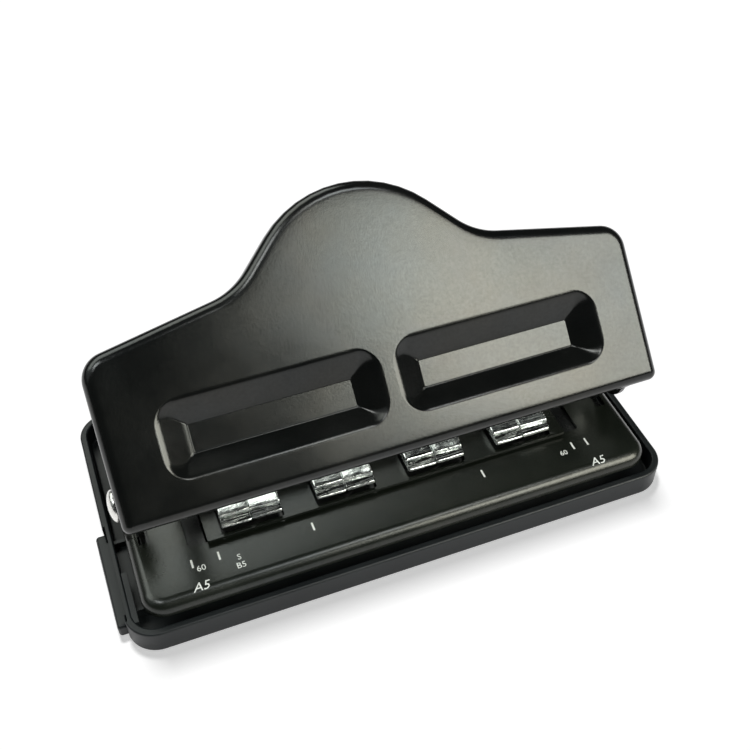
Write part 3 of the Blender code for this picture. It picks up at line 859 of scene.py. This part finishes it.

# %% [markdown]
# ## Return springs
# A compression spring has an even pitch in the middle and closed turns at its
# ends. The tree bends a line of points into a helix. The height is mixed from
# a straight rise and a smooth one, so the turns crowd together at both ends.
# Each spring is built at its rest height and rides on the base.


# %% A coil with closed ends
COIL_POINTS, WIRE_SIDES, SPRING_GAP = 150, 10, 0.31
STRAIGHT_SHARE, SMOOTH_SHARE = 0.3, 0.7


def make_spring_tree():
    tree, given, result = geometry_tree("closed_coil", [
        ("Turns", FLOAT, 5.6), ("Coil Radius", FLOAT, 2.1 * MM), ("Wire Radius", FLOAT, 0.3 * MM),
        ("Height", FLOAT, 5.0 * MM), ("Centre", VECTOR, (0, 0, 0))])
    line = tree.nodes.new("GeometryNodeCurvePrimitiveLine")
    dots = add_node(tree, "GeometryNodeResampleCurve", Curve=line.outputs["Curve"],
                    Count=COIL_POINTS)
    share = tree.nodes.new("GeometryNodeSplineParameter").outputs["Factor"]
    turn = add_math(tree, "MULTIPLY", add_math(tree, "MULTIPLY", share, given["Turns"]),
                    2 * math.pi)
    smooth = add_node(tree, "ShaderNodeMapRange", Value=share)
    smooth.interpolation_type = "SMOOTHSTEP"
    rise = add_math(tree, "ADD", add_math(tree, "MULTIPLY", share, STRAIGHT_SHARE),
                    add_math(tree, "MULTIPLY", smooth.outputs["Result"], SMOOTH_SHARE))
    radius = given["Coil Radius"]
    spot = vector_of(tree, add_math(tree, "MULTIPLY", add_math(tree, "COSINE", turn), radius),
                     add_math(tree, "MULTIPLY", add_math(tree, "SINE", turn), radius),
                     add_math(tree, "MULTIPLY", rise, given["Height"]))
    move = add_node(tree, "GeometryNodeSetPosition", Geometry=dots.outputs["Curve"],
                    Position=spot, Offset=given["Centre"])
    wire = add_node(tree, "GeometryNodeCurvePrimitiveCircle", Resolution=WIRE_SIDES,
                    Radius=given["Wire Radius"])
    skin = add_node(tree, "GeometryNodeCurveToMesh", Curve=move.outputs["Geometry"],
                    Profile_Curve=wire.outputs["Curve"], Fill_Caps=True)
    end_tree(tree, result, skin.outputs["Mesh"], spring_wire)
    return tree


spring_tree = make_spring_tree()
for number in range(1, 5):
    low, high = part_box(f"return_spring_{number}")
    middle = (low + high) / 2
    spring = grow(f"return_spring_{number}_coil", spring_tree, {
        "Height": high.z - low.z - 2 * SPRING_GAP * MM,
        "Centre": (middle.x, middle.y, low.z + SPRING_GAP * MM)})
    spring.data.shade_smooth()
    dress(spring, spring_wire, "base", "springs", f"return_spring_{number}")
    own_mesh(spring)

# %% [markdown]
# ## Screws
# Four screws hold the deck to the frame behind the punches. They stand on a
# grid, so a tree puts one turned pan head with a cross slot on each point. A
# seeded random turn leaves each slot at its own angle, as a screwdriver does.


# %% Pan-head screws on a grid
def make_screw():
    skin = Skin()
    low = DECK_TOP + 0.3
    profile = [(8.7, 1.0), (9.0, 1.35), (low, 1.35), (low, 2.5), (low + 0.12, 2.66),
               (low + 0.7, 2.66), (low + 1.1, 2.45), (low + 1.45, 1.9), (low + 1.62, 1.0)]
    skin.loft([[(x, y, z) for x, y in circle(0, 0, r, 40)] for z, r in profile])
    screw = solid_object("screw_pattern", skin)
    for a, b in ((1.5, 0.28), (0.28, 1.5)):
        combine(screw, plain_box("cross", -a, a, -b, b, low + 0.75, low + 4), "DIFFERENCE")
    return soften(screw, 0.05, 1, 60.0)


def make_grid_tree(pattern):
    tree, given, result = geometry_tree("grid_of_screws", [
        ("Width", FLOAT, 90 * MM), ("Depth", FLOAT, 14 * MM), ("Centre", VECTOR, (0, 0, 0)),
        ("Turn", FLOAT, 0.4), ("Seed", "NodeSocketInt", 7)])
    grid = add_node(tree, "GeometryNodeMeshGrid", Vertices_X=2, Vertices_Y=2,
                    Size_X=given["Width"], Size_Y=given["Depth"])
    info = add_node(tree, "GeometryNodeObjectInfo", Object=pattern)
    chance = add_node(tree, "FunctionNodeRandomValue", Seed=given["Seed"])
    angle = add_math(tree, "MULTIPLY", chance.outputs[1], given["Turn"])
    put = add_node(tree, "GeometryNodeInstanceOnPoints", Points=grid.outputs["Mesh"],
                   Instance=info.outputs["Geometry"],
                   Rotation=vector_of(tree, 0.0, 0.0, angle))
    move = add_node(tree, "GeometryNodeTransform", Geometry=put.outputs["Instances"],
                    Translation=given["Centre"])
    end_tree(tree, result, move.outputs["Geometry"], mill_steel)
    return tree


screw_pattern = make_screw()
screws = grow("deck_screws_pan_head", make_grid_tree(screw_pattern), {
    "Centre": (0.0, 33.0 * MM, 0.0), "Turn": 1.4})
bpy.data.objects.remove(screw_pattern)
screws.data.shade_smooth()
screws.data.set_sharp_from_angle(angle=math.radians(40))
dress(screws, mill_steel, "base", "screws", *[f"deck_screw_{n}" for n in range(1, 5)])

# %% [markdown]
# ## Hinge rivets
# Each side wall turns on a domed rivet. The dome is an arc of a circle and not
# a half ball, and it has a small round dimple where the tool pressed it.

# %% Domed rivets
low, high = (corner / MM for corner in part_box("hinge_rivet_left"))
RIVET_Y, RIVET_Z = (low.y + high.y) / 2, (low.z + high.z) / 2


def rivet_profile():
    """From the inner end to the dome, as distance from the middle and radius."""
    steps = [(63.2, 2.3), (63.35, 2.9), (63.7, 3.4), (64.4, 3.5), (64.4, 2.5), (69.3, 2.5),
             (69.3, 4.1), (69.45, 4.28), (69.7, 4.3)]
    for k in range(1, 9):
        angle = math.pi / 2 * k / 9.2
        steps.append((69.7 + 1.78 * math.sin(angle), 4.3 * math.cos(angle)))
    return steps + [(71.44, 0.62), (71.3, 0.45), (71.28, 0.2)]


for side, word in ((-1, "left"), (1, "right")):
    rivet = turned(f"hinge_rivet_{word}_domed", [(side * x, r) for x, r in rivet_profile()],
                   RIVET_Y, RIVET_Z, 48)
    soften(rivet, 0.0)
    dress(rivet, nickel, "base", "rivets", f"hinge_rivet_{word}")
    repaint(f"hinge_washer_{word}", nylon)

# %% [markdown]
# ## The pan
# The pan is moulded plastic: a floor, a low wall with a rounded rim, a pocket
# for the drawer's handle, a slit for the drawer, and a short rib just inside the
# left wall. Its wall is a set of rings up the outside, over the rim and down the
# inside, so the rim is truly round.

# %% The moulded pan
PAN = rectangle(-74.9, 74.9, -19.1, 58.0, 8.0)
PAN_STEPS = [(-0.9, 0.0), (-0.35, 0.15), (-0.08, 0.45), (0.0, 0.8), (0.0, 6.7)]
PAN_STEPS += [(-0.6 * (1 - math.cos(angle)), 6.9 + 0.6 * math.sin(angle))
              for angle in quarter_turn(6)]
PAN_STEPS += [(-1.5 - 0.5 * math.sin(angle), 7.0 + 0.5 * math.cos(angle))
              for angle in quarter_turn(6, 0)]
PAN_STEPS += [(-2.1, 2.2), (-2.3, 1.75), (-2.8, 1.6)]
PAN_BOXES = (("pocket", (-80, -74.1, -12.6, 17.6, -5, 20), "DIFFERENCE"),
             ("mouth", (-80, -68.9, -9.3, 14.3, 1.7, 5.3), "DIFFERENCE"),
             ("rib", (-73.1, -71.5, -13.6, 1.8, 5.6, 7.2), "UNION"))
pan_skin = Skin()
pan_skin.loft([[(x, y, z) for x, y in outline(PAN, inset, 12)] for inset, z in PAN_STEPS])
pan = solid_object("base_pan_moulded", pan_skin)
for name, limits, operation in PAN_BOXES:
    combine(pan, plain_box(name, *limits), operation)
soften(pan, 0.14, 2, 55.0)
dress(pan, pan_plastic, "base", "base_pan", "base_pan")

# %% [markdown]
# ## The chip drawer
# The paper chips fall into a slim drawer, and the plate at its left end is the
# handle. The handle's edges are well rounded, because fingers pull on it, and it
# gets a little thinner towards the front.

# %% The drawer and its handle
TRAY = (-75.0, 56.0, -9.0, 14.0, 2.0, 5.0)
TRAY_HOLLOW = (-73.0, 55.0, -8.0, 13.0, 3.0, 9.0)
HANDLE_BACK, HANDLE_INNER, HANDLE_DEPTH, HANDLE_TAPER = 17.2, -74.4, 2.8, 0.008
HANDLE = rectangle(-12.2, HANDLE_BACK, 0.8, 5.0, 0.9)
HANDLE_STEPS = [(-77.2, -0.75), (-77.0, -0.35), (-76.75, -0.12), (-76.4, 0.0), (-74.8, 0.0),
                (-74.5, -0.1), (HANDLE_INNER, -0.3)]
tray = plain_box("chip_drawer_tray", *TRAY)
combine(tray, plain_box("hollow", *TRAY_HOLLOW), "DIFFERENCE")
handle_skin = Skin()
handle_skin.loft([[
    (x + (HANDLE_INNER - x) / HANDLE_DEPTH * HANDLE_TAPER * (HANDLE_BACK - y), y, z)
    for y, z in outline(HANDLE, inset, 6, 0.25)] for x, inset in HANDLE_STEPS])
handle = solid_object("handle", handle_skin)
combine(tray, handle, "UNION")
soften(tray, 0.12, 2, 55.0)
dress(tray, pan_plastic, "drawer", "chip_drawer", "chip_drawer")

# %% [markdown]
# ## Printed marks
# The deck carries white ticks that line the paper up, with the usual names of
# paper sizes. Print is a thin film, so each mark is a plate two hundredths of a
# millimetre thick, laid on the deck. A tree repeats one tick along a row.


# %% Ticks and labels
HALF_FILM = 0.01
FILM_Z = (DECK_TOP + HALF_FILM) * MM
TICK_Y = -6.3
TICKS = (("left_pair", -55.6, 2, 6.9), ("left_inner", -23.9, 1, 7.0),
         ("right_inner", 23.9, 1, 7.0), ("right_pair", 50.8, 2, 4.2))
LABELS = (("label_a", "A5", -57.2, -14.6, 3.6, 0.3), ("label_60", "60", -54.9, -9.0, 2.4, 0.0),
          ("label_b", "B5", -45.4, -11.7, 2.4, 0.0), ("label_s", "S", -44.6, -9.2, 2.4, 0.0),
          ("label_right", "60", 46.3, -8.4, 2.2, 0.0),
          ("label_right_a", "A5", 52.4, -14.6, 3.6, 0.3))


def make_tick_tree():
    tree, given, result = geometry_tree("row_of_ticks", [
        ("Count", "NodeSocketInt", 2), ("Spacing", FLOAT, 7 * MM), ("Width", FLOAT, 0.5 * MM),
        ("Length", FLOAT, 2.5 * MM), ("Film", FLOAT, 2 * HALF_FILM * MM),
        ("Start", VECTOR, (0, 0, 0))])
    plate = add_node(tree, "GeometryNodeMeshCube", Size=vector_of(
        tree, given["Width"], given["Length"], given["Film"]))
    row = add_node(tree, "GeometryNodeMeshLine", Count=given["Count"],
                   Start_Location=given["Start"],
                   Offset=vector_of(tree, given["Spacing"]))
    put = add_node(tree, "GeometryNodeInstanceOnPoints", Points=row.outputs["Mesh"],
                   Instance=plate.outputs["Mesh"])
    end_tree(tree, result, put.outputs["Instances"], ink)
    return tree


def label(name, words, x, y, size, slant=0.0):
    """Raised text as a thin mesh; its place goes into its points."""
    curve = bpy.data.curves.new(name, "FONT")
    curve.body = words
    curve.size = size * MM
    curve.shear = slant
    curve.extrude = HALF_FILM * MM
    curve.resolution_u = 3
    text = new_object(name, curve)
    graph = bpy.context.evaluated_depsgraph_get()
    mesh = bpy.data.meshes.new_from_object(text.evaluated_get(graph))
    bpy.data.objects.remove(text)
    mesh.transform(Matrix.Translation((x * MM, y * MM, FILM_Z)))
    return new_object(name, mesh)


tick_tree = make_tick_tree()
for name, start, count, spacing in TICKS:
    ticks = grow(f"ticks_{name}", tick_tree, {
        "Count": count, "Spacing": spacing * MM, "Start": (start * MM, TICK_Y * MM, FILM_Z)})
    dress(ticks, ink, "base", "deck_cover")
for name, words, x, y, size, slant in LABELS:
    dress(label(name, words, x, y, size, slant), ink, "base", "deck_cover")

# %% [markdown]
# ## Floor, light and camera
# Black satin paint shows what it mirrors. A window-like lamp at the front right
# draws the grey sheen across the lever, and a dimmer curtain beside it fades the
# sheen out. A broad card behind lights the deck and the edges, a faint card on the
# left fills the shade, and two small skylights draw the thin lines on the rims.
# The floor is white and glows a little, as an overexposed studio sweep does. Those
# lamps would wash out its shadow, so light linking keeps them off the floor, and one
# small lamp that lights only the floor makes the tight shadow under the pan.


# %% The studio
def at_bearing(bearing, rise, distance):
    """A place round the object: bearing from the front towards +X, and rise."""
    a, e = math.radians(bearing), math.radians(rise)
    return Vector((math.sin(a) * math.cos(e), -math.cos(a) * math.cos(e), math.sin(e))) * distance


def soft_lamp(name, bearing, rise, distance, width, height, radiance, tint=(1, 1, 1)):
    """Area lamp that looks at the object; its power gives the wanted radiance."""
    data = bpy.data.lights.new(name, "AREA")
    data.shape = "RECTANGLE"
    data.size, data.size_y = width, height
    data.energy = radiance * math.pi * width * height
    data.color = tint
    lamp = new_object(name, data)
    place = at_bearing(bearing, rise, distance)
    lamp.matrix_world = (Matrix.Translation(place)
                         @ (-place).to_track_quat("-Z", "Y").to_matrix().to_4x4())
    return lamp


# name, bearing, rise, distance, width, height, radiance, tint
lamps = [soft_lamp("window_front_right", 43, 34, 1.6, 0.88, 0.96, 8.8, (1.0, 1.0, 0.9)),
         soft_lamp("window_curtain", 23, 42, 1.6, 0.3, 0.7, 5.6, (0.98, 1.0, 0.92)),
         soft_lamp("card_behind", 210, 50, 1.8, 2.3, 0.86, 3.1, (0.95, 1.0, 0.94)),
         soft_lamp("card_left", 262, 38, 1.8, 1.4, 1.0, 0.4, (0.92, 1.0, 1.0)),
         soft_lamp("skylight_left", 287, 67, 1.6, 0.5, 0.4, 9.0, (0.97, 1.0, 1.0)),
         soft_lamp("skylight_right", 40, 71, 1.6, 0.55, 0.36, 8.0, (0.97, 1.0, 1.0))]
floor_lamp = soft_lamp("floor_lamp", 183, 73, 1.6, 0.26, 0.26, 76.0)

FLOOR_HALF, FLOOR_TONE, FLOOR_GLOW = 6.0, (0.78, 0.78, 0.78, 1), 0.54
ROOM_LIGHT, BACKDROP_LIGHT = 0.035, 0.95
floor_mesh = bpy.data.meshes.new("floor")
floor_mesh.from_pydata([(x * FLOOR_HALF, y * FLOOR_HALF, 0) for x, y in
                        ((-1, -1), (1, -1), (1, 1), (-1, 1))], [], [(0, 1, 2, 3)])
floor = new_object("floor", floor_mesh)
floor_paper = bpy.data.materials.new("white_floor")
floor_paper.use_nodes = True
floor_shader = floor_paper.node_tree.nodes["Principled BSDF"]
for name, value in (("Base Color", FLOOR_TONE), ("Roughness", 0.8), ("Specular IOR Level", 0.1),
                    ("Emission Color", WHITE), ("Emission Strength", FLOOR_GLOW)):
    floor_shader.inputs[name].default_value = value
floor_mesh.materials.append(floor_paper)
floor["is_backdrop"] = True
for state, members in (("EXCLUDE", lamps), ("INCLUDE", [floor_lamp])):
    group = bpy.data.collections.new(f"floor_{state.lower()}")
    group.objects.link(floor)
    group.collection_objects[0].light_linking.link_state = state
    for lamp in members:
        lamp.light_linking.receiver_collection = group

world = bpy.data.worlds.new("room")
world.use_nodes = True
bpy.context.scene.world = world
room = world.node_tree
sky = room.nodes["Background"]
seen = room.nodes.new("ShaderNodeLightPath")
brightness = add_node(room, "ShaderNodeMapRange", To_Min=ROOM_LIGHT, To_Max=BACKDROP_LIGHT,
                      Value=seen.outputs["Is Camera Ray"])
room.links.new(brightness.outputs["Result"], sky.inputs["Strength"])
sky.inputs["Color"].default_value = (0.95, 1, 1, 1)

# %% [markdown]
# The camera stands high in front and to the left. Three unit vectors say how
# it is turned: what is to its right, what is above, and what is behind it.

# %% The camera
SENSOR_MM, LENS_MM = 36.0, 49.97
CAMERA_PLACE = (-0.063537, -0.159897, 0.231485)
camera_data = bpy.data.cameras.new("camera")
camera_data.sensor_width = SENSOR_MM
camera_data.lens = LENS_MM
camera_data.clip_start, camera_data.clip_end = 0.01, 50.0
camera = new_object("camera", camera_data)
right, up = Vector((0.93468, -0.3554, -0.00771)), Vector((0.26014, 0.66906, 0.69619))
behind = right.cross(up)
turn = Matrix((right, up, behind)).transposed().to_4x4()
camera.matrix_world = Matrix.Translation(CAMERA_PLACE) @ turn
bpy.context.scene.camera = camera
bpy.context.scene.view_settings.view_transform = "Standard"

# %% [markdown]
# ## Measure
# The looks must not change the size, so the size of what is drawn is printed.

# %% Sizes
low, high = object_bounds()
print("visual size in mm:", [round(side / MM, 1) for side in high - low])
